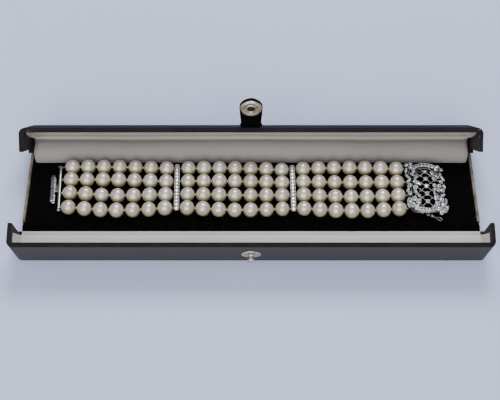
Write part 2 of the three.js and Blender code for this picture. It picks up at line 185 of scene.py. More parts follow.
table_top = material("table_top", (0.585, 0.66, 0.91), 0.85, Specular_IOR_Level=0.1)
tint(table_top, pattern(table_top, "noise", 3), (0.575, 0.65, 0.90), (0.595, 0.67, 0.92))
floor_mesh = bpy.data.meshes.new("floor")
FLOOR_HALF = 3.0
floor_corners = [(x * FLOOR_HALF, y * FLOOR_HALF, 0) for x, y in ((-1, -1), (1, -1), (1, 1), (-1, 1))]
floor_mesh.from_pydata(floor_corners, [], [(0, 1, 2, 3)])
floor_mesh.materials.append(table_top)
floor = added("floor", floor_mesh)

# --------------
# The case's base: a board with a low wall at each end, covered in fine black grained leather
# turned in over every edge. The covered edges are softly rounded.
def attribute(made, name):
    """The number that each point or face of the mesh carries under that name."""
    return worked(made, "Attribute", {}, "Fac", attribute_name=name)


def rising(made, source, low, high):
    """0 where the source is under the low value, 1 over the high one, a straight line between."""
    return worked(made, "MapRange", {"Value": source, "From Min": low, "From Max": high}, "Result")


def mixed(made, share, first, second):
    """Base colour between two colours, by the second one's share; returns the colour."""
    colour = worked(made, "Mix", {"Factor": share, "A": first, "B": second}, "Result", data_type="RGBA")
    feed(made, "Base Color", colour)
    return colour


leather = material("case_leather", (0.014, 0.013, 0.015), 0.75, Specular_IOR_Level=0.04)
leather_mottle = pattern(leather, "noise", 140, detail=6)
leather_colour = tint(leather, leather_mottle, (0.012, 0.0112, 0.013), (0.018, 0.0168, 0.0192))
roughen(leather, leather_mottle, 0.62, 0.82)
emboss(leather, pattern(leather, "voronoi", 1500), 0.00006, 0.6)
emboss(leather, pattern(leather, "noise", 260, detail=5), 0.00015, 0.35)
# painted light: the marked faces are painted a lighter grey than the turned edges, for the light they catch
PAINTED_LIGHT_GREY, PALE_HIDE = (0.056, 0.052, 0.055, 1), (0.20, 0.16, 0.11, 1)
painted_light = mixed(leather, attribute(leather, "painted_light"), leather_colour, PAINTED_LIGHT_GREY)
# the corners are scuffed: near both ends, the peaks of a coarse noise show the pale hide
SCUFF_FROM, SCUFF_TO = 0.1035, 0.1115
RUBBED_FROM, RUBBED_TO = 0.61, 0.70
along_case = worked(leather, "SeparateXYZ", {"Vector": worked(leather, "TexCoord", {}, "Object")}, "X")
from_middle = worked(leather, "Math", {0: along_case}, "Value", operation="ABSOLUTE")
near_end = rising(leather, from_middle, SCUFF_FROM, SCUFF_TO)
rubbed = rising(leather, pattern(leather, "noise", 330, detail=7), RUBBED_FROM, RUBBED_TO)
scuffed = worked(leather, "Math", {0: near_end, 1: rubbed}, "Value", operation="MULTIPLY")
mixed(leather, scuffed, painted_light, PALE_HIDE)


def covered(node, name, finish, round_mm):
    """The CAD piece with its flat faces joined up and every edge rounded to the given radius."""
    source = frame["nodes"][node].data
    mesh = bpy.data.meshes.new(name)
    work = bmesh.new()
    work.from_mesh(source)
    bmesh.ops.remove_doubles(work, verts=work.verts, dist=1e-6)
    bmesh.ops.dissolve_limit(work, angle_limit=math.radians(1), verts=work.verts, edges=work.edges)
    work.to_mesh(mesh)
    work.free()
    mesh.materials.clear()
    mesh.materials.append(finish)
    mesh.polygons.foreach_set("material_index", np.zeros(len(mesh.polygons), int))
    mesh.polygons.foreach_set("use_smooth", np.ones(len(mesh.polygons), bool))
    made = added(name, mesh)
    bevel = made.modifiers.new("round", "BEVEL")
    bevel.width = round_mm * MM
    bevel.segments = 3
    bevel.limit_method = "ANGLE"
    bevel.angle_limit = math.radians(28)
    bevel.harden_normals = True
    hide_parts(node)
    return made


base = covered("case_base", "leather_base", leather, 0.35)
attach(base, "case")

# --------------
# Cream edging: a strip of card-stiffened cream leather along the top of each end wall of the
# tray, glued down, with its upper corners rubbed round.
edging_cream = material("cream_edging", (0.24, 0.21, 0.145), 0.7, Specular_IOR_Level=0.25)
edging_wear = pattern(edging_cream, "noise", 220, detail=5)
tint(edging_cream, edging_wear, (0.09, 0.075, 0.048), (0.23, 0.205, 0.15), 0.35, 0.65)
emboss(edging_cream, edging_wear, 0.0001)
for side in ("left", "right"):
    edging = covered("tray_edging_" + side, "edging_" + side, edging_cream, 0.3)
    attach(edging, "case")

# --------------
# The tray's velvet: a card pad wrapped in black velvet, its edges rounded by the pile. The velvet
# runs on over the front edge as a flap glued to the front door; it is built as it lies open and does not
# move.
velvet = material("black_velvet", (0.0012, 0.001, 0.001), 1.0, Sheen_Weight=0.02, Sheen_Roughness=0.5,
                  Specular_IOR_Level=0.05)
velvet_nap = pattern(velvet, "noise", 420, detail=6)
tint(velvet, velvet_nap, (0.0008, 0.0007, 0.0007), (0.0022, 0.002, 0.0019))
emboss(velvet, velvet_nap, 0.0004, 0.6)


def mesh_piece(name, points, faces, finish, smooth=True):
    """A new object at the origin from an array of points in metres and the faces of a closed
    surface, each turned to face outward."""
    mesh = bpy.data.meshes.new(name)
    mesh.from_pydata(points, [], faces)
    mesh.polygons.foreach_set("use_smooth", np.full(len(mesh.polygons), smooth))
    mesh.materials.append(finish)
    work = bmesh.new()
    work.from_mesh(mesh)
    bmesh.ops.recalc_face_normals(work, faces=work.faces)
    work.to_mesh(mesh)
    work.free()
    return added(name, mesh)


def grid_faces(rows, columns, round_rows=False, round_columns=False):
    """Quads between neighbours of a rows by columns grid, closed round where asked."""
    row = np.arange(rows if round_rows else rows - 1)
    column = np.arange(columns if round_columns else columns - 1)
    i, j = np.meshgrid(row, column, indexing="ij")
    i, j = i.ravel(), j.ravel()
    up, along = (i + 1) % rows, (j + 1) % columns
    return np.stack([i * columns + j, i * columns + along, up * columns + along, up * columns + j], 1)


def smooth_curve(knots, count):
    """A Catmull-Rom curve through the knots, sampled evenly in its parameter."""
    knots = np.asarray(knots, float)
    ends = np.vstack([2 * knots[0] - knots[1], knots, 2 * knots[-1] - knots[-2]])
    t = np.linspace(0, len(knots) - 1 - 1e-9, count)
    i = t.astype(int)
    f = (t - i)[:, None]
    a, b, c, d = ends[i], ends[i + 1], ends[i + 2], ends[i + 3]
    return 0.5 * (2 * b + (c - a) * f + (2 * a - 5 * b + 4 * c - d) * f**2 + (3 * b - a - 3 * c + d) * f**3)


def closed_grid(rows, columns):
    """Faces of a grid whose rows run round a section and columns along it, closed at both ends."""
    row = np.arange(rows) * columns
    ends = [row.tolist(), (row + columns - 1)[::-1].tolist()]
    return grid_faces(rows, columns, round_rows=True).tolist() + ends


# the section across the case and its half length, in mm: up the back, over the top, down the flap
# and back under it
VELVET_SECTION = [(19.5, 3.2, 106.8), (19.6, 5.0, 106.8), (19.55, 6.5, 106.8), (19.2, 6.95, 106.8),
                  (15.0, 7.0, 106.8), (0.0, 7.0, 106.8), (-15.0, 7.0, 106.8), (-19.3, 7.0, 106.8),
                  (-20.6, 6.95, 108.5), (-21.9, 6.3, 108.6), (-23.0, 5.3, 108.6), (-23.6, 4.3, 108.6),
                  (-23.3, 4.0, 108.6), (-22.6, 4.7, 108.6), (-21.5, 5.6, 108.6), (-20.3, 6.2, 108.5),
                  (-19.65, 6.0, 106.8), (-19.5, 3.2, 106.8)]
VELVET_ROLL = 0.9
ROLL_STEPS, FLAT_STEPS = 7, 50
PILE_FROM, PILE_RISE = 5.5, 1.5
section = smooth_curve(VELVET_SECTION, 160)
# the way in from each end: in mm round the rolled edge, then in percent of the half length
inset = np.concatenate([VELVET_ROLL * (1 - np.cos(np.linspace(0, math.pi / 2, ROLL_STEPS))),
                        np.linspace(2, 100, FLAT_STEPS)])
drop = VELVET_ROLL - np.sqrt(VELVET_ROLL**2 - (VELVET_ROLL - inset).clip(0) ** 2)
inset, drop = np.concatenate([inset, inset[-2::-1]]), np.concatenate([drop, drop[-2::-1]])
half_count = ROLL_STEPS + FLAT_STEPS
from_end = np.concatenate([-np.ones(half_count), np.ones(half_count - 1)])
x = from_end * (section[:, 2:3] - inset * section[:, 2:3] / 100 * (inset > 1) - inset * (inset <= 1))
height = section[:, 1:2] - drop * ((section[:, 1:2] - PILE_FROM) / PILE_RISE).clip(0, 1)
points = np.stack([x, np.broadcast_to(section[:, :1], height.shape), height], 2)
pad = mesh_piece("velvet_tray", points.reshape(-1, 3) * MM, closed_grid(*x.shape), velvet)
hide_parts("velvet_pad")
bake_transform(pad)

# --------------
# The two doors: thin board, leather outside and round the rims, each a side wall and half of the
# top with a cheek at each end. They hinge in the leather along the base's long edges.
HINGES = {joint["child"]: joint for joint in frame["joints"]}
OPEN = {"front": -math.radians(HINGES["front_door"]["range_deg"][0]),
        "rear": math.radians(HINGES["rear_door"]["range_deg"][1])}
# painted light: how much of the lighter grey each door's top is painted with
TOP_PAINTED_LIGHT = {"front": 1.0, "rear": 0.15}
# a face counts as wall, cheek or top by how far its normal points inward, sideways or up
WALL_BELOW, CHEEK_ABOVE, TOP_ABOVE = -0.3, 0.9, 0.3


def marked(made, name, kind, values):
    """Gives each point or face of a mesh its own number, for its material to read."""
    made.data.attributes.new(name, "FLOAT", kind).data.foreach_set("value", values.astype(np.float32))


for which in ("front", "rear"):
    shell = covered(f"{which}_door_shell", f"{which}_door_leather", leather, 0.45)
    # painted light: its side wall and cheeks are painted a lighter grey, the rear door's top much less and
    # the rims not at all; each face is told by its normal, turned back to where it points when the door is
    # shut
    normals = np.empty(len(shell.data.polygons) * 3, np.float32)
    shell.data.polygons.foreach_get("normal", normals)
    sideways, across, rise = normals.reshape(-1, 3).T
    across = across if which == "front" else -across
    inward = across * math.cos(OPEN[which]) + rise * math.sin(OPEN[which])
    upward = rise * math.cos(OPEN[which]) - across * math.sin(OPEN[which])
    painted_light_share = np.where(upward > TOP_ABOVE, TOP_PAINTED_LIGHT[which], 0)
    painted_light_share = np.where((inward < WALL_BELOW) | (np.abs(sideways) > CHEEK_ABOVE), 1.0, painted_light_share)
    marked(shell, "painted_light", "FACE", painted_light_share)
    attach(shell, f"{which}_door")


def in_door(which, inward, up, along):
    """Points given in a door's own section (inward from the hinge, and up when shut, in mm)
    turned open about its hinge line."""
    hinge = np.array(HINGES[f"{which}_door"]["pos_m"])
    turn = OPEN[which]
    facing = 1 if which == "front" else -1
    inward, up, along = np.broadcast_arrays(inward, up, along)
    across = inward * math.cos(turn) - up * math.sin(turn)
    rise = inward * math.sin(turn) + up * math.cos(turn)
    return np.stack([along * MM, hinge[1] + facing * across * MM, hinge[2] + rise * MM], -1)


# --------------
# The doors' linings: satin over a thin soft pad, from the tray's edge over the hinge, up the side
# wall and under the half top, glued at the rims. A crease divides a grey-white band from a cream
# one, and the cream band turns the corner and runs up the cheeks. The bands differ partly in their
# own colour and partly as painted light: the grey band is painted darker as in shade, the cream one
# lighter where the satin turns toward the light.
SATIN_SHADE = 0.88


def unit(vectors):
    """Each row divided by its own length."""
    return vectors / np.linalg.norm(vectors, axis=1)[:, None]


def satin_cloth(name, grey, cream):
    """Satin in two shades, partly the cloth's own colour and partly painted light and shade, mixed by
    the piece's own 'cream' attribute, with a fine weave and long soft creases along the case."""
    made = material(name, cream, 0.42, Sheen_Weight=0.25, Sheen_Roughness=0.35, Specular_IOR_Level=0.35)
    cloud = pattern(made, "noise", 35, (0.35, 1, 1), 4)
    shades = [tint(made, cloud, [SATIN_SHADE * value for value in shade], shade) for shade in (grey, cream)]
    mixed(made, attribute(made, "cream"), *shades)
    emboss(made, pattern(made, "wave", 900, (1, 0.2, 0.2)), 0.00002, 0.5)
    emboss(made, pattern(made, "noise", 60, (0.25, 1, 1), 4), 0.0012, 0.3)
    return made


def satin_lining(which, cloth, knots, back, chord, bend, ripples):
    """Knots go up the section: (inward, up, half length, climb, cream). The face is their curve
    carried along the case with sine ripples along its normal. Where climb is 0 its end falls to
    the board on a quarter circle; where it is 1 the end turns on a quarter ellipse and runs up the
    cheek to the chord between two points of the section, `bend` mm off it. The back follows the board."""
    rows, middle, turning = 100, 300, 14
    # in mm, save the second: how far in the end's fall and the ripples' fade reach, the share of
    # the thickness left at the very end, and how far the back stands out past the face there
    fall_reach, thinnest, ripple_fade, back_out = 2.6, 0.1, 6, 0.1
    curve = smooth_curve(knots, rows)
    face, half, climb = curve[:, :2], curve[:, 2:3], curve[:, 3:4].clip(0, 1)
    board = smooth_curve(back, rows)
    s = np.linspace(0, 1, rows)[:, None]
    begins = s[np.argmax(climb > 0.02)]
    chord = np.asarray(chord, float)
    target = chord[0] + ((s - begins) / (1 - begins)).clip(0, 1) * (chord[1] - chord[0])
    reach = climb * (target - face)
    corner = np.minimum(bend, np.linalg.norm(reach, axis=1))[:, None]
    along = (half - corner) * np.sin(np.linspace(-math.pi / 2, math.pi / 2, middle))
    inset = half - corner - np.abs(along)
    fall = np.sqrt(1 - (1 - (inset / fall_reach).clip(0, 1)) ** 2)
    fall = climb + (1 - climb) * fall
    ripple = sum(size * np.sin(turns * along + lean * s + shift) for size, turns, lean, shift in ripples)
    ripple = ripple * np.sin(math.pi * s) * (inset / ripple_fade).clip(0, 1)
    gradient = np.gradient(face, axis=0)
    normal = unit(np.stack([-gradient[:, 1], gradient[:, 0]], 1))
    normal *= np.sign(((face - board) * normal).sum(1).mean())
    puff = board[:, None] + (face - board)[:, None] * (thinnest + (1 - thinnest) * fall)[..., None]
    puff = puff + normal[:, None] * ripple[..., None]
    turn = np.linspace(0, math.pi / 2, turning + 1)[1:]
    swing = 1 - np.cos(turn)
    out = (half - corner) + corner * np.sin(turn)
    up_cheek = puff[:, -1:] + reach[:, None] * swing[:, None]
    low_end = puff[:, :1] + reach[:, None] * swing[::-1, None]
    x = np.concatenate([-out[:, ::-1], along, out], 1)
    face = np.concatenate([low_end, puff, up_cheek], 1)
    share = np.concatenate([swing[::-1], np.zeros(middle), swing]) * climb
    behind = board[:, None] * (1 - share[..., None]) + face * share[..., None]
    behind_x = x + back_out * np.sign(x) * share
    section = np.concatenate([face, behind[::-1]], 0)
    x = np.concatenate([x, behind_x[::-1]], 0)
    points = in_door(which, section[..., 0], section[..., 1], x)
    made = mesh_piece(f"{which}_door_satin", points.reshape(-1, 3), closed_grid(*x.shape), cloth)
    marked(made, "cream", "POINT",
           np.repeat(np.concatenate([curve[:, 4], curve[::-1, 4]]).clip(0, 1), x.shape[1]))
    return made


FRONT_RIPPLES = [(0.10, 0.13, 2.0, 0.4), (0.06, 0.37, 4.0, 1.1), (0.04, 0.9, 7.0, 2.0)]
front_face = [(inward, up, 108.7, climb, cream) for inward, up, climb, cream in [
    (2.0, 0.4, 0, 0), (2.45, 1.2, 0, 0), (2.1, 2.45, 0.9, 0.4), (2.48, 3.5, 1, 1), (2.48, 5.4, 1, 1),
    (2.5, 8.0, 1, 1), (3.0, 10.3, 1, 1), (4.6, 11.5, 1, 1), (8.0, 11.7, 1, 1), (13.0, 11.7, 1, 1),
    (18.0, 11.8, 1, 1), (19.4, 12.2, 1, 1)]]
front_back = [(1.8, 0.4), (1.8, 1.3), (1.8, 2.5), (1.8, 3.6), (1.8, 5.6), (1.8, 8.0), (1.8, 11.0),
              (3.2, 12.4), (8.0, 12.4), (13.0, 12.4), (18.0, 12.4), (19.5, 12.4)]
# painted light: the front door's satin is a lighter, bluer copy of the same cloth, as if lit
front_cloth_painted_lit = satin_cloth("front_satin", (0.60, 0.61, 0.64), (0.70, 0.69, 0.62))
front_satin = satin_lining("front", front_cloth_painted_lit, front_face, front_back, [(2.4, 2.6), (19.2, 6.4)], 0.04,
                           FRONT_RIPPLES)
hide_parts("front_door_lining")
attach(front_satin, "front_door")

REAR_RIPPLES = [(0.25, 0.055, 1.5, 0.9), (0.12, 0.16, 3.0, 0.2), (0.05, 0.5, 6.0, 1.3)]
rear_face = [(8.0, -4.0, 105.8, 0, 0), (9.2, -1.9, 106.4, 0, 0), (9.75, 1.2, 106.6, 0, 0),
             (9.4, 3.8, 106.6, 0, 0), (8.3, 6.0, 106.6, 0, 0), (6.4, 7.5, 106.9, 0, 0.4),
             (6.5, 8.7, 108.4, 1, 1), (5.6, 10.1, 108.6, 1, 1), (5.6, 11.2, 108.4, 1, 1),
             (8.0, 11.7, 108.2, 1, 1), (12.0, 11.7, 108.2, 1, 1), (17.0, 11.8, 108.0, 1, 1),
             (19.4, 12.2, 107.9, 1, 1)]
rear_back = [(7.7, -3.7), (7.9, -1.6), (7.4, 0.8), (6.0, 3.2), (4.2, 5.4), (2.9, 7.2), (2.2, 8.6),
             (2.0, 10.0), (3.0, 12.2), (6.0, 12.4), (12.0, 12.4), (17.0, 12.4), (19.5, 12.4)]
# painted shade: the rear door's satin is the same cloth painted darker, as in shade
rear_cloth_painted_shade = satin_cloth("rear_satin", (0.275, 0.262, 0.25), (0.40, 0.38, 0.335))
rear_satin = satin_lining("rear", rear_cloth_painted_shade, rear_face, rear_back, [(5.6, 8.2), (18.8, 11.0)], 2.5,
                          REAR_RIPPLES)
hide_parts("rear_door_lining", "rear_satin_roll")
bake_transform(rear_satin)

# --------------
# The closing tab: a leather tongue glued and stitched to the rear door's top by its root. It
# stands up off the free edge when the case is open.
TAB_THICK = 1.6
TAB_HALF = 5.5
TAB_ROOT_AT = 14.3
TAB_BEND_AT = 22.3
TAB_FOOT = 14.5
TAB_LEAN = math.radians(59)
TAB_CURL = math.radians(17)
TAB_LENGTH = 17.2
TAB_STEPS = (80, 28)
BEND_OVER = 3
CURL_FROM, CURL_OVER = 12, 10
WAIST_AT, WAIST_OVER, WAIST_IN = 9, 6, 0.75
tab_s = np.linspace(0, 1, 400) * (TAB_BEND_AT - TAB_ROOT_AT + TAB_LENGTH)
past_bend = ((tab_s - (TAB_BEND_AT - TAB_ROOT_AT - 1)) / BEND_OVER).clip(0, 1)
curled = ((tab_s - CURL_FROM) / CURL_OVER).clip(0, 1)
tab_turn = TAB_LEAN * past_bend**2 * (3 - 2 * past_bend) - TAB_CURL * curled**2 * (3 - 2 * curled)
tab_step = np.gradient(tab_s)
tab_inward = TAB_ROOT_AT + np.cumsum(np.cos(tab_turn) * tab_step) - tab_step[0]
tab_up = TAB_FOOT + np.cumsum(np.sin(tab_turn) * tab_step)


def full_turn(count):
    """Angles spaced evenly round a full turn."""
    return np.linspace(0, 2 * math.pi, count, endpoint=False)


def tab_place(along, depth=0.0, wide=0.0):
    """A point on the tab's inner face: its middle line lies flat on the door, turns through the
    lean within 3 mm and curls a little forward again; depth is measured into the leather."""
    turn = np.interp(along, tab_s, tab_turn)
    inward = np.interp(along, tab_s, tab_inward) - depth * np.sin(turn)
    up = np.interp(along, tab_s, tab_up) + depth * np.cos(turn)
    return in_door("rear", inward, up, wide)


def tab_points():
    """The strip's section is a box with softened corners; its half width narrows at the bend and
    closes to a half circle at the free end."""
    rows, across = TAB_STEPS
    total = tab_s[-1]
    s = np.concatenate([np.linspace(0, total - TAB_HALF, rows // 2, endpoint=False),
                        total - TAB_HALF * (1 - np.sin(np.linspace(0, math.pi / 2, rows // 2)))])
    end = ((s - (total - TAB_HALF)) / TAB_HALF).clip(0, 1)
    half = TAB_HALF - WAIST_IN * np.exp(-((s - WAIST_AT) / WAIST_OVER) ** 2)
    half = half * np.sqrt((1 - end**2).clip(4e-3, 1))
    v = full_turn(across)
    wide = half[:, None] * np.sign(np.cos(v)) * np.abs(np.cos(v)) ** 0.25
    deep = TAB_THICK / 2 * (1 + np.sign(np.sin(v)) * np.abs(np.sin(v)) ** 0.5)
    return tab_place(s[:, None], deep[None, :], wide).reshape(-1, 3)


def closed_rings(rings, sides):
    """Faces between rings of points, each joined to the next, with the first and last filled in."""
    last = (rings - 1) * sides
    ends = [list(range(sides))[::-1], list(range(last, last + sides))]
    return grid_faces(rings, sides, round_columns=True).tolist() + ends


tab_leather = material("tab_leather", (0.0015, 0.0015, 0.0015), 0.9, Specular_IOR_Level=0.03)
tab_grain = pattern(tab_leather, "noise", 300, detail=6)
tint(tab_leather, tab_grain, (0.0008, 0.0008, 0.0008), (0.0022, 0.002, 0.0022))
roughen(tab_leather, tab_grain, 0.65, 0.85)
emboss(tab_leather, pattern(tab_leather, "voronoi", 1500), 0.00005, 0.6)
tab = mesh_piece("leather_tab", tab_points(), closed_rings(*TAB_STEPS), tab_leather)
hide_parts("closing_tab")
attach(tab, "rear_door")

# --------------
# The press stud: a nickel-plated socket riveted through the tab, and its post on a round plate
# riveted to the front door. Both are turned and stamped from brass sheet.
def worn_metal(name, colour, roughness, grain, detail, dark, light, smooth, rough):
    """Bare metal whose colour and roughness both follow one fine noise."""
    made = material(name, colour, roughness, 1.0)
    wear = pattern(made, "noise", grain, detail=detail)
    tint(made, wear, dark, light)
    roughen(made, wear, smooth, rough)
    return made


nickel = worn_metal("nickel_plate", (0.66, 0.60, 0.53), 0.3, 500, 5,
                    (0.38, 0.33, 0.27), (0.66, 0.59, 0.50), 0.24, 0.46)


def turned(profile, segments, origin, axis):
    """A profile of (radius, height) in mm turned about an axis through an origin in metres; where
    it starts or ends off the axis it closes on itself."""
    profile = np.asarray(profile, float)
    closed = profile[0, 0] > 0 and profile[-1, 0] > 0
    angle = full_turn(segments)
    axis = np.asarray(axis, float) / np.linalg.norm(axis)
    side = np.cross(axis, [1, 0, 0] if abs(axis[0]) < 0.9 else [0, 1, 0])
    side /= np.linalg.norm(side)
    other = np.cross(axis, side)
    ring = np.cos(angle)[:, None] * side + np.sin(angle)[:, None] * other
    points = origin + MM * (profile[:, 0, None, None] * ring + profile[:, 1, None, None] * axis)
    return points.reshape(-1, 3), grid_faces(len(profile), segments, closed, True)


SOCKET_AT = 19.8
socket_axis = tab_place(SOCKET_AT, -1.0) - tab_place(SOCKET_AT)
socket_profile = [(1.75, -0.5), (5.15, -0.1), (5.2, 0.25), (4.9, 0.75), (4.3, 1.0), (3.4, 0.95), (2.9, 0.65),
                  (2.6, 0.7), (2.3, 0.95), (1.95, 0.9), (1.75, 0.5)]
socket = mesh_piece("stud_socket", *turned(socket_profile, 48, tab_place(SOCKET_AT), socket_axis), nickel)
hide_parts("press_stud_socket")
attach(socket, "rear_door")

stud_dark = material("socket_shadow", (0.02, 0.018, 0.016), 0.6, 0.6)
socket_floor = [(0.01, -0.1), (1.9, -0.1), (1.9, 0.12), (0.01, 0.12)]
bottom = mesh_piece("stud_socket_floor", *turned(socket_floor, 32, tab_place(SOCKET_AT), socket_axis),
                    stud_dark)
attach(bottom, "rear_door")

STUD_INWARD = 22.3 - 10.2
STUD_UP = 14.35
stud_origin = in_door("front", STUD_INWARD, STUD_UP, 0.0)
stud_axis = in_door("front", STUD_INWARD, STUD_UP + 1, 0.0) - stud_origin
post_profile = [(0.01, -0.1), (4.6, -0.1), (4.7, 0.15), (4.45, 0.5), (3.6, 0.75), (2.4, 0.85), (1.6, 1.0),
                (1.4, 1.5), (1.45, 2.2), (1.85, 2.8), (1.9, 3.2), (1.55, 3.65), (0.9, 3.8), (0.01, 3.85)]
post = mesh_piece("stud_post", *turned(post_profile, 48, stud_origin, stud_axis), nickel)
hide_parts("press_stud_post")
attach(post, "front_door")

# --------------
# The pearls: cream cultured pearls, matched but not equal, knotted on silk in four strands. Each
# has a deep lustre with faint green and rose overtones.
nacre = material("pearl_nacre", (0.5, 0.46, 0.36), 0.34, 0.5, Specular_IOR_Level=0.9, Coat_Weight=1.0,
                 Coat_Roughness=0.17, Coat_IOR=1.65)
# painted light: the ramp runs from darker creamy sides painted as in shade to whiter lit tops, shifted by
# each pearl's own random tone
NACRE_TONES_AND_TOP_LIGHT = [(0.0, (0.47, 0.385, 0.21)), (0.25, (0.52, 0.45, 0.28)), (0.5, (0.56, 0.51, 0.40)),
               (0.75, (0.61, 0.58, 0.53)), (1.0, (0.70, 0.69, 0.675))]
CLOUD_SHARE, LEAN_SHARE = 0.25, 0.12
cloud_tone_and_top_light = {0: pattern(nacre, "noise", 260, detail=2), 1: CLOUD_SHARE, 2: attribute(nacre, "tone_and_top_light")}
tone_and_top_light_colour = ramp(nacre, worked(nacre, "Math", cloud_tone_and_top_light, "Value", operation="MULTIPLY_ADD"), NACRE_TONES_AND_TOP_LIGHT)
# every pearl leans a little to rose or to green
ROSE_TO_GREEN = [(0.0, (0.74, 0.52, 0.42)), (1.0, (0.52, 0.62, 0.38))]
mixed(nacre, LEAN_SHARE, tone_and_top_light_colour, ramp(nacre, attribute(nacre, "lean"), ROSE_TO_GREEN))
emboss(nacre, pattern(nacre, "noise", 900, detail=2), 0.00003, 0.4)

silk = material("thread_silk", (0.62, 0.50, 0.36), 0.7, Sheen_Weight=0.3)
emboss(silk, pattern(silk, "wave", 3000, (1, 1, 0.3)), 0.00005)

BRACELET_Y = -2.7
PEARLS = 7
VELVET_TOP = 7.0
PEARL_RADIUS, LEAST_RADIUS, MOST_RADIUS = 3.62, 3.5, 3.72
# first and last pearl along the bracelet; each row's place across at both ends, and its bow
SECTIONS = {
    "left": (-86.8, -40.9, [(12.2, 11.3, 0.4), (4.9, 3.8, 0.4), (-2.5, -3.6, -1.0), (-10.6, -11.1, -1.4)]),
    "middle": (-30.4, 14.9, [(11.4, 10.5, 0.5), (4.0, 3.1, 0.4), (-3.4, -4.1, -0.1), (-10.9, -11.5, -0.9)]),
    "right": (25.2, 70.4, [(11.0, 11.0, 0.7), (3.6, 3.4, -0.2), (-3.8, -4.1, -0.9), (-11.3, -11.5, -1.2)]),
}
draw = np.random.default_rng(7)
colour_draw = np.random.default_rng(11)


def many(shape, faces, places, sizes, frames=None):
    """Copies of one shape: every copy is turned by its frame, scaled and moved, as one array."""
    shape = np.asarray(shape, float)
    if frames is None:
        frames = np.broadcast_to(np.eye(3), (len(places), 3, 3))
    sizes = np.asarray(sizes, float).reshape(len(places), 1, -1)
    points = np.einsum("nij,nkj->nki", frames, shape[None] * sizes) + np.asarray(places)[:, None, :]
    jump = (np.arange(len(places)) * len(shape))[:, None]
    return points.reshape(-1, 3), [copy for face in faces for copy in (np.asarray(face) + jump).tolist()]


def ball(rows, columns):
    """A unit ball on a grid of latitude and longitude with its poles along X, closed by fans."""
    latitude = np.linspace(0, math.pi, rows + 1)[1:-1]
    longitude = full_turn(columns)
    ring = np.stack([np.cos(longitude), np.sin(longitude)], 1)
    middle = np.concatenate([np.repeat(np.cos(latitude), columns)[:, None],
                             (np.sin(latitude)[:, None, None] * ring).reshape(-1, 2)], 1)
    points = np.vstack([middle, [[1, 0, 0], [-1, 0, 0]]])
    count = len(middle)
    quads = grid_faces(rows - 1, columns, round_columns=True)[:, ::-1].tolist()
    j = np.arange(columns)
    near = np.stack([np.full(columns, count), (j + 1) % columns, j], 1)[:, ::-1]
    last = (rows - 2) * columns
    far = np.stack([np.full(columns, count + 1), last + j, last + (j + 1) % columns], 1)[:, ::-1]
    return points, quads + near.tolist() + far.tolist()


def joined(*parts):
    """Several (points, faces) meshes as one."""
    start, points, faces = 0, [], []
    for some_points, some_faces in parts:
        points.append(some_points)
        faces += [[corner + start for corner in face] for face in some_faces]
        start += len(some_points)
    return np.vstack(points), faces


def tube(path, radius, sides, closed=False, flat=1.0):
    """A round section carried along a path in mm, `flat` times as deep as wide; the ends of an
    open tube are closed by its end rings."""
    path = np.asarray(path, float)
    if closed:
        ahead, behind = np.roll(path, -1, 0), np.roll(path, 1, 0)
    else:
        ahead, behind = np.vstack([path[1:], path[-1:]]), np.vstack([path[:1], path[:-1]])
    direction = unit(ahead - behind)
    guide = np.array([0, 0, 1.0]) if np.abs(direction[:, 2]).max() < 0.95 else np.array([0, 1.0, 0.05])
    side = unit(np.cross(guide, direction))
    lift = np.cross(direction, side)
    angle = full_turn(sides)
    radius = np.broadcast_to(radius, len(path))[:, None, None]
    points = path[:, None] + radius * (np.cos(angle)[:, None] * side[:, None]
                                       + flat * np.sin(angle)[:, None] * lift[:, None])
    if closed:
        return points.reshape(-1, 3), grid_faces(len(path), sides, True, True).tolist()
    return points.reshape(-1, 3), closed_rings(len(path), sides)


pearl_ball = ball(22, 36)
# painted light: each pearl's top is painted whiter and its sides darker and creamier, as the light from
# above falls on it
TOP_LIGHT_SHARE = 0.6
lit_top = pearl_ball[0][None, :, 2].clip(0, 1) ** 1.6
knot_ball = ball(6, 10)
for section, (first, last, rows) in SECTIONS.items():
    for number, (start, end, bow) in enumerate(rows, 1):
        share = np.linspace(0, 1, PEARLS)
        x = first + share * (last - first)
        y = BRACELET_Y + start + share * (end - start) + bow * np.sin(math.pi * share)
        radius = draw.normal(PEARL_RADIUS, 0.06, PEARLS).clip(LEAST_RADIUS, MOST_RADIUS)
        centres = np.stack([x, y, VELVET_TOP + radius], 1)
        shape = 1 + draw.normal(0, 0.008, (PEARLS, 3))
        pearls = many(*pearl_ball, centres, radius[:, None] * shape)
        mesh = mesh_piece(f"pearls_{number}_{section}", pearls[0] * MM, pearls[1], nacre)
        # each point's tone: the pearl's own random share plus the painted light on its top
        tones_and_top_light = (0.35 * draw.uniform(0, 0.75, PEARLS)[:, None] + TOP_LIGHT_SHARE * lit_top).ravel()
        marked(mesh, "tone_and_top_light", "POINT", tones_and_top_light)
        leans = np.repeat(colour_draw.beta(0.7, 0.7, PEARLS), len(pearl_ball[0]))
        marked(mesh, "lean", "POINT", leans)
        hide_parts(f"strand_{number}_{section}")
        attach(mesh, "case")
        between = (centres[1:] + centres[:-1]) / 2
        knots = many(*knot_ball, between, np.tile([[0.32, 0.5, 0.5]], (PEARLS - 1, 1)))
        overhang = np.array([[3.95, 0, 0]])
        line = tube(np.vstack([centres[:1] - overhang, centres, centres[-1:] + overhang]), 0.28, 8)
        thread = joined(knots, line)
        thread = mesh_piece(f"thread_{number}_{section}", thread[0] * MM, thread[1], silk)
        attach(thread, "case")

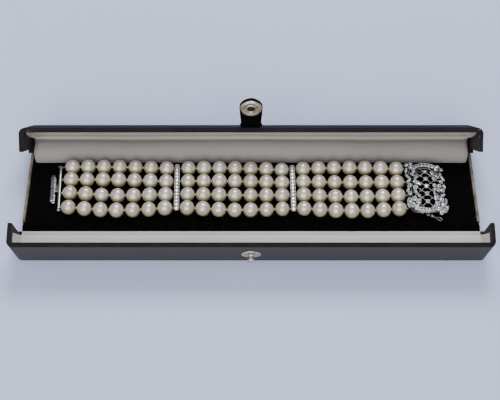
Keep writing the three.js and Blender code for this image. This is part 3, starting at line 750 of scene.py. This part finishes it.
# --------------
# The spacer bars: white gold channels pierced for the four threads, with a line of small round
# stones held between two bright rails.
white_gold = worn_metal("white_gold", (0.45, 0.45, 0.45), 0.26, 900, 4,
                        (0.24, 0.24, 0.24), (0.46, 0.46, 0.46), 0.14, 0.34)
rail_gold = worn_metal("rail_gold", (0.38, 0.375, 0.36), 0.45, 800, 4,
                       (0.30, 0.295, 0.28), (0.44, 0.435, 0.42), 0.38, 0.55)
diamond = material("clear_stone", (0.5, 0.52, 0.55), 0.06, 0.6, Specular_IOR_Level=0.8, Coat_Weight=0.5,
                   Coat_Roughness=0.03, Coat_IOR=1.8)
# painted glints: a fine noise paints the stones' colour in bright and dark specks that stand for their
# sparkle
tint(diamond, pattern(diamond, "noise", 1100, detail=2), (0.24, 0.25, 0.27), (0.74, 0.76, 0.79), 0.36, 0.58)


def level(x, y, height):
    """The points of a flat outline, all at one height."""
    return np.stack([x, y, np.full(len(x), height)], 1)


def brilliant(sides=8):
    """A round cut stone of unit radius: an eight-sided table, a ring of crown points, the girdle
    and a point below."""
    turn = full_turn(sides)
    half = turn + math.pi / sides
    rings = [level(radius * np.cos(angle), radius * np.sin(angle), height)
             for angle, radius, height in ((turn, 0.55, 0.34), (half, 0.82, 0.17), (turn, 1, 0.0))]
    points = np.vstack([*rings, [[0, 0, -0.75]]])
    faces = [list(range(sides))]
    for j in range(sides):
        k = (j + 1) % sides
        table_a, table_b = j, k
        crown_a, crown_before = sides + j, sides + (j - 1) % sides
        girdle_a, girdle_b = 2 * sides + j, 2 * sides + k
        faces += [[table_a, crown_a, table_b], [crown_a, girdle_a, girdle_b],
                  [table_a, crown_before, girdle_a, crown_a], [3 * sides, girdle_b, girdle_a]]
    return points, faces


stone = brilliant()


def tilted(normals, spins):
    """Frames whose third axis is each normal, spun about it."""
    normals = unit(normals)
    side = unit(np.cross(normals, [0, 1.0, 0]))
    other = np.cross(normals, side)
    c, s = np.cos(spins)[:, None], np.sin(spins)[:, None]
    return np.stack([c * side + s * other, c * other - s * side, normals], 2)


def setting(name, node_body, metal_parts, stone_parts, replaced=(), metal=white_gold, gem=diamond):
    """A jewel as two pieces, its metal and its stones, in mm."""
    metal_points, metal_faces = joined(*metal_parts)
    work = mesh_piece(name + "_metal", metal_points * MM, metal_faces, metal)
    if replaced:
        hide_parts(*replaced)
    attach(work, node_body)
    if stone_parts:
        stone_points, stone_faces = joined(*stone_parts)
        gems = mesh_piece(name + "_stones", stone_points * MM, stone_faces, gem, smooth=False)
        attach(gems, node_body)


small_stone = material("small_stone", (0.42, 0.43, 0.44), 0.16, 0.6, Specular_IOR_Level=0.7, Coat_Weight=0.3,
                       Coat_Roughness=0.08)
# painted glints: a fine noise paints the small stones' colour lighter and darker in specks for their sparkle
tint(small_stone, pattern(small_stone, "noise", 700, detail=2),
     (0.30, 0.30, 0.31), (0.52, 0.53, 0.54))
SPACER_STONES = 13
SPACER_HALF = 12.1
RAIL_OUT, RAIL_RADIUS = 1.02, 0.26
SEAT_PROFILE = [(0.5, -1.3), (0.92, -0.1), (0.96, 0.08), (0.86, 0.08), (0.4, -1.2)]
for side, turn_deg in (("left", 1.0), ("right", 0.6)):
    low, high = (np.array(corner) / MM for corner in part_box(f"spacer_bar_{side}"))
    middle = (low + high) / 2
    turn = math.radians(turn_deg)
    lengthwise = np.array([-math.sin(turn), math.cos(turn), 0])
    sideways = np.array([math.cos(turn), math.sin(turn), 0])
    top = high[2]
    step = np.linspace(-SPACER_HALF, SPACER_HALF, 60)[:, None] * lengthwise
    parts = []
    for way in (-1, 1):
        rail = middle + step + way * RAIL_OUT * sideways
        rail[:, 2] = top - 0.28
        parts.append(tube(rail, RAIL_RADIUS, 10))
        web = middle + step + way * 0.95 * sideways
        web[:, 2] = top - 1.3
        parts.append(tube(web, 0.22, 8, flat=4.6))
    for way in (-1, 1):
        around = np.linspace(0, math.pi, 16)
        cap = middle + way * SPACER_HALF * lengthwise + RAIL_OUT * (
            np.cos(around)[:, None] * sideways + way * 0.7 * np.sin(around)[:, None] * lengthwise)
        cap[:, 2] = top - 0.3
        parts.append(tube(cap, 0.27, 10))
    places = middle + np.linspace(0.5 - SPACER_HALF, SPACER_HALF - 0.5, SPACER_STONES)[:, None] * lengthwise
    places[:, 2] = top - 0.42
    floor_line = middle + step * 0.98
    floor_line[:, 2] = top - 0.95
    parts.append(tube(floor_line, 0.95, 12, flat=0.3))
    stones = many(*stone, places, np.full((SPACER_STONES, 1), 0.92), tilted(
        np.tile([[0, 0, 1.0]], (SPACER_STONES, 1)), draw.uniform(0, 1, SPACER_STONES)))
    seats = many(*turned(SEAT_PROFILE, 16, np.zeros(3), (0, 0, 1)), places,
                 np.full((SPACER_STONES, 1), 1 / MM))
    setting(f"spacer_{side}", "case", parts + [seats], [stones], [f"spacer_bar_{side}"], rail_gold,
            small_stone)

# --------------
# The clasp's tongue: a sheet folded into a springy lip, on a short neck soldered to the end bar.
# Four small rings on the bar take the threads.
BAR = np.array([-92.1, BRACELET_Y + 0.9, 9.6])
bar_turn = math.radians(2.6)
bar_along = np.array([-math.sin(bar_turn), math.cos(bar_turn), 0])
bar_across = np.array([math.cos(bar_turn), math.sin(bar_turn), 0])


def at_bar(across, along, height):
    """Points in the end bar's own frame: across it, along it and up from its middle line."""
    across, along, height = np.broadcast_arrays(across, along, height)
    flat = BAR + across[..., None] * bar_across + along[..., None] * bar_along
    return flat + height[..., None] * [0, 0, 1.0]


def sheet_along(section, half_width, thick):
    """Sheet metal: an open section line (across, height) given a thickness, carried along the bar."""
    section = smooth_curve(section, 40)
    gradient = np.gradient(section, axis=0)
    normal = unit(np.stack([-gradient[:, 1], gradient[:, 0]], 1))
    loop = np.vstack([section + normal * thick / 2, (section - normal * thick / 2)[::-1]])
    along = np.linspace(-half_width, half_width, 12)
    points = at_bar(loop[:, None, 0], along[None, :], loop[:, None, 1])
    return points.reshape(-1, 3), closed_grid(len(loop), len(along))


lip = sheet_along([(-2.4, -1.9), (-3.6, -1.95), (-4.35, -1.5), (-4.5, -0.9), (-4.2, -0.35), (-3.4, -0.2),
                   (-2.5, -0.1)], 7.35, 0.42)
neck = sheet_along([(-2.6, -0.55), (-1.6, -0.4), (-0.4, -0.1)], 2.0, 0.5)
bar_line = at_bar(0.0, np.linspace(-12.2, 12.2, 50), 0.0)
bar = tube(bar_line, 0.78, 20)
knob = turned([(0.01, -0.2), (0.95, -0.1), (1.05, 0.4), (0.85, 1.0), (0.01, 1.15)], 20,
              at_bar(0.0, -12.3, 0.0) * MM, -bar_along)
end_tab = tube(at_bar(np.array([0.0, -0.7, -1.3]), 12.0, 0.0), np.array([0.7, 0.6, 0.35]), 12)
ring_turn = full_turn(20)
RING_RADIUS = 0.42
ring_across, ring_up = 0.95 + RING_RADIUS * np.cos(ring_turn), RING_RADIUS * np.sin(ring_turn) + 0.3
rings = [tube(at_bar(ring_across, place, ring_up), 0.17, 8, closed=True)
         for place in (11.3, 4.2, -3.4, -11.2)]
setting("tongue", "case", [lip, neck, bar, (knob[0] / MM, knob[1].tolist()), end_tab, *rings], [],
        ["clasp_tongue"])

# --------------
# The clasp: a domed openwork panel in white gold. Stones stand at the crossings of a fine lattice
# in its middle, paved arches close its ends, and leaves and stones wreathe its sides.
CLASP = np.array([83.9, -2.9])
CROWN_TOP, CROWN_EDGE = 13.3, 11.7
HALF_LONG, HALF_WIDE = 9.6, 13.9
CROWN_ENDS = 1.2


def crown(u, v):
    """Height of the clasp's top: highest in the middle, falling with the square of the distance."""
    fall = (np.asarray(u) / HALF_LONG) ** 2 + (np.asarray(v) / HALF_WIDE) ** 2
    return CROWN_TOP - (CROWN_TOP - CROWN_EDGE) * np.minimum(fall, CROWN_ENDS) / CROWN_ENDS


def on_clasp(u, v, below=0.0):
    """Points on the clasp's top, or below it: u along the bracelet and v across from its middle."""
    u, v = np.broadcast_arrays(np.asarray(u, float), np.asarray(v, float))
    return np.stack([CLASP[0] + u, CLASP[1] + v, crown(u, v) - below], -1)


def crown_normal(u, v):
    """The way the stones face there: the crown's own slope both ways, made steeper, and one up."""
    steeper = 2.2
    slope = 2 * (CROWN_TOP - CROWN_EDGE) / CROWN_ENDS
    along, across = slope * u / HALF_LONG**2 * steeper, slope * v / HALF_WIDE**2 * steeper
    return level(along, across, 1.0)


# stones in round collets: place along and across, and radius
COLLETS = np.array([
    (0, -8.3, 1.0), (0, -4.15, 1.0), (0, 0, 1.05), (0, 4.15, 1.0), (0, 8.3, 1.0),
    (-8.6, 12.9, 1.15), (-6.4, 13.5, 1.15), (-6.6, 11.5, 1.2),
    (4.2, 11.6, 1.15), (6.7, 11.9, 1.2), (5.6, 9.9, 1.2), (8.2, 10.2, 1.15),
    (-7.6, 0.9, 1.1), (-5.2, -0.4, 1.15), (-7.9, -3.5, 1.0), (-5.1, 2.7, 1.05),
    (7.3, 2.7, 1.1), (6.3, 0.3, 1.15), (3.9, 0.5, 1.0), (7.6, -2.1, 1.15), (5.5, -2.0, 1.05),
    (-8.3, -7.2, 1.3), (-6.0, -6.6, 1.2), (-4.2, -8.2, 1.25), (-7.0, -9.6, 1.35), (-5.0, -10.8, 1.1),
    (4.3, -6.3, 1.25), (6.8, -7.2, 1.3), (4.6, -9.2, 1.3), (7.6, -9.8, 1.45), (5.4, -11.9, 1.4),
    (7.9, -12.7, 1.3), (6.2, -14.0, 1.05),
])
# leaves set with stones: place, turn from the bracelet's length, and length
LEAVES = np.array([
    (-8.7, 10.1, 75, 3.0), (-8.6, 6.6, 120, 3.2), (-5.3, 9.2, 60, 3.0), (-6.1, 7.2, 135, 3.0),
    (-4.6, 5.2, 60, 2.8), (-7.9, 3.8, 60, 3.0), (-3.6, 1.4, 150, 2.4), (-5.2, -2.9, 110, 3.0),
    (-8.6, -1.3, 70, 2.8), (-3.7, -5.2, 130, 2.6), (-9.0, -9.4, 100, 2.6),
    (3.4, 7.4, 120, 3.0), (7.3, 7.0, 60, 3.4), (3.9, 4.3, 110, 3.0), (8.3, 5.0, 125, 3.0),
    (5.6, 5.6, 140, 2.6), (8.7, 0.4, 100, 2.6), (3.9, -1.6, 75, 2.8), (3.7, -4.2, 100, 2.6),
    (7.6, -4.7, 40, 3.2), (9.0, -7.6, 110, 2.6), (3.0, -10.9, 20, 2.8), (9.2, -11.4, 80, 2.8),
])
collet_profile = [(0.55, -1.6), (0.95, -0.35), (1.13, 0.1), (1.1, 0.2), (0.97, 0.12), (0.8, -0.3),
                  (0.4, -1.5)]
collet_shape = turned(collet_profile, 20, np.zeros(3), (0, 0, 1))
collet_u, collet_v, collet_radius = COLLETS.T
collet_places = on_clasp(collet_u, collet_v, 0.25)
collet_frames = tilted(crown_normal(collet_u, collet_v), draw.uniform(0, 1.5, len(COLLETS)))
collets = many(collet_shape[0] / MM, collet_shape[1], collet_places,
               collet_radius[:, None] * 0.92, collet_frames)
collet_stones = many(*stone, collet_places, collet_radius[:, None] * 0.9, collet_frames)


def leaf_cup(rows=9, columns=17):
    """A pointed leaf of unit half length: its half width is a sine of the way along, its rim
    stands up and its middle is hollowed; the underside follows it 0.42 lower."""
    s = np.linspace(0, 1, rows)[:, None]
    t = np.linspace(-1, 1, columns)[None, :]
    width = 0.44 * np.sin(math.pi * (0.04 + 0.92 * s)) ** 0.8
    x = (2 * s - 1) * np.ones_like(t)
    y = width * t
    z = 0.20 * t**4 - 0.05 * np.cos(math.pi * (s - 0.5))
    face = np.stack([x, y, z], 2).reshape(-1, 3)
    under = face - [0, 0, 0.42]
    quads = grid_faces(rows, columns)
    total = rows * columns
    rim = np.concatenate([np.arange(columns), np.arange(1, rows) * columns + columns - 1,
                          total - 2 - np.arange(columns - 1), (np.arange(rows - 2, 0, -1)) * columns])
    after = np.roll(rim, -1)
    walls = np.stack([rim, after, after + total, rim + total], 1)
    return np.vstack([face, under]), quads.tolist() + (quads[:, ::-1] + total).tolist() + walls.tolist()


# the leaves on the bracelet's side are a little larger
leaf_u, leaf_v, leaf_degrees, leaf_length = LEAVES.T
leaf_length = (leaf_length * np.where(leaf_u < 0, 1.12, 1.0))[:, None]
leaf_turns = np.radians(leaf_degrees)
leaf_normals = unit(crown_normal(leaf_u, leaf_v))
leaf_long = np.stack([np.cos(leaf_turns), np.sin(leaf_turns), np.zeros(len(LEAVES))], 1)
leaf_long = unit(leaf_long - (leaf_long * leaf_normals).sum(1)[:, None] * leaf_normals)
leaf_frames = np.stack([leaf_long, np.cross(leaf_normals, leaf_long), leaf_normals], 2)
leaf_places = on_clasp(leaf_u, leaf_v, 0.35)
leaves = many(*leaf_cup(), leaf_places, leaf_length / 2 * 1.08, leaf_frames)
leaf_stones = []
for offset, size in ((-0.42, 0.42), (0.08, 0.52), (0.56, 0.36)):
    where = leaf_places + leaf_frames[:, :, 0] * (offset * leaf_length / 2) + leaf_frames[:, :, 2] * 0.12
    leaf_stones.append(many(*stone, where, leaf_length / 3 * size, tilted(
        leaf_frames[:, :, 2], draw.uniform(0, 1.5, len(LEAVES)))))

# the lattice: knife-edged wires both ways through the middle stones, laid to the crown
OPENING_HALF = 6.4
wires = []
for row in range(-6, 7, 2):
    for way in (-1, 1):
        u = np.linspace(-OPENING_HALF, OPENING_HALF, 25)
        v = row * 2.075 + way * 0.85 * u
        keep = np.abs(v) < 11.4 - 0.03 * u**2
        if keep.sum() > 5:
            wires.append(tube(on_clasp(u[keep], v[keep], 0.62), 0.11, 6, flat=1.8))

ARCH_FOOT, SKIRT_FOOT, ARCH_RISE, ARCH_SPAN = 10.3, 9.7, 2.5, 7.2
ARCH_STONES = 8


def arch(u, foot=ARCH_FOOT):
    """How far out an arch stands: its foot, and a rise that falls with the square of u."""
    return foot + ARCH_RISE * (1 - (u / ARCH_SPAN) ** 2)


# the arches: paved bands over both ends of the lattice
arches, arch_stones = [], []
for way in (-1, 1):
    u = np.linspace(-OPENING_HALF, OPENING_HALF, 40)
    v = way * arch(u)
    for edge in (-0.95, 0.95):
        arches.append(tube(on_clasp(u, v + way * edge, 0.35), 0.27, 8))
    arches.append(tube(on_clasp(u, v, 1.0), 0.8, 10, flat=0.5))
    set_u = np.linspace(-5.7, 5.7, ARCH_STONES)
    set_v = way * arch(set_u)
    arch_stones.append(many(*stone, on_clasp(set_u, set_v, 0.35), np.full((ARCH_STONES, 1), 0.74), tilted(
        crown_normal(set_u, set_v), draw.uniform(0, 1.5, ARCH_STONES))))


def plan_loop(count):
    """Points evenly round the gallery in plan: a rectangle with rounded corners, by powers of the
    sine and cosine."""
    half_long, half_wide, power = 8.1, 11.5, 2 / 5
    a = full_turn(count)
    return (CLASP[0] + half_long * np.sign(np.cos(a)) * np.abs(np.cos(a)) ** power,
            CLASP[1] + half_wide * np.sign(np.sin(a)) * np.abs(np.sin(a)) ** power)


# the gallery: two rails with a row of bent-wire scallops between them
SCALLOPS, SCALLOP_STEPS = 30, 480
around = full_turn(SCALLOP_STEPS)
scallop_z = 7.7 + 2.7 * np.abs(np.sin(around * SCALLOPS / 2))
gallery = [tube(level(*plan_loop(200), height), radius, 8, closed=True)
           for height, radius in ((7.55, 0.32), (10.7, 0.34))]
gallery.append(tube(np.stack([*plan_loop(SCALLOP_STEPS), scallop_z], 1), 0.22, 6, closed=True))
# the near end's skirt: small scallops that hang below the arch on both sides of the catch
for low, high in ((-7.6, -1.5), (2.1, 7.6)):
    u = np.linspace(low, high, 80)
    x, y = CLASP[0] + u, CLASP[1] - arch(u, SKIRT_FOOT)
    drape = np.stack([x, y, 8.0 + 2.5 * np.abs(np.sin((u - low) * 1.55))], 1)
    hem = level(x, y, 7.95)
    arches += [tube(drape, 0.2, 6), tube(hem, 0.24, 8)]
side_rails = [tube(on_clasp(side * 6.9 * np.ones(30), np.linspace(-11.5, 11.5, 30), 1.5), 0.32, 8)
              for side in (-1, 1)]

# the catch's pin between two lugs on the near side of the gallery
PIVOT = np.array(HINGES["catch"]["pos_m"]) / MM
lugs = [tube([[PIVOT[0], CLASP[1] - 11.3, z], [PIVOT[0], PIVOT[1], z]], 0.5, 10, flat=0.4)
        for z in (7.45, 10.4)]
pin = tube([[PIVOT[0], PIVOT[1], z] for z in (7.35, 9.0, 10.6)], 0.34, 12)
# short links from the side of the gallery to the four threads
links_out = []
for across in (11.2, 3.6, -3.9, -11.3):
    y = BRACELET_Y + across
    v = np.clip(y - CLASP[1], -10.2, 10.2)
    links_out.append(tube(np.array([[74.0, y, 10.4], [75.0, (y + CLASP[1] + v) / 2, 10.3],
                                    [76.2, CLASP[1] + v, 10.2]]), 0.35, 8))
polished_gold = worn_metal("polished_gold", (0.5, 0.5, 0.49), 0.3, 900, 4,
                           (0.40, 0.40, 0.39), (0.58, 0.58, 0.57), 0.24, 0.42)
# painted shade: the gallery, side rails, lugs, pin and links under the crown get a darker gold for the shade
# they lie in
gold_in_painted_shade = worn_metal("gold_in_painted_shade", (0.17, 0.17, 0.175), 0.38, 700, 4,
                         (0.10, 0.10, 0.105), (0.24, 0.24, 0.245), 0.3, 0.5)
setting("clasp", "case", [leaves, *arches], [collet_stones, *leaf_stones, *arch_stones], ["clasp_frame"])
setting("clasp_lattice", "case", [collets, *wires], [], metal=polished_gold)
setting("clasp_gallery", "case", [*gallery, *side_rails, *lugs, pin, *links_out], [], metal=gold_in_painted_shade)

# --------------
# The safety catch: wire bent to a figure of eight, standing on edge on a barrel that turns on the
# pin. It stands swung out as it was left when the clasp was opened.
catch_turn = math.radians(-26)
catch_out = np.array([math.cos(catch_turn), math.sin(catch_turn), 0])
bend = full_turn(90)
REACH = (1.0, 7.0)
eight_out = (REACH[0] + REACH[1]) / 2 + (REACH[1] - REACH[0]) / 2 * np.cos(bend)
eight_up = 0.92 * np.sin(2 * bend)
eight_side = 0.22 * np.sin(bend)
beside = np.array([-catch_out[1], catch_out[0], 0])
BARREL_UP = 8.75
middle = np.array([PIVOT[0], PIVOT[1], BARREL_UP])
eight = middle + eight_out[:, None] * catch_out + eight_side[:, None] * beside
eight[:, 2] += eight_up
barrel = turned([(0.62, -1.0), (1.0, -1.0), (1.08, 0), (1.0, 1.0), (0.62, 1.0)], 20, middle * MM, (0, 0, 1))
setting("catch", "catch", [tube(eight, 0.3, 8, closed=True), (barrel[0] / MM, barrel[1].tolist())], [],
        ["safety_catch"])
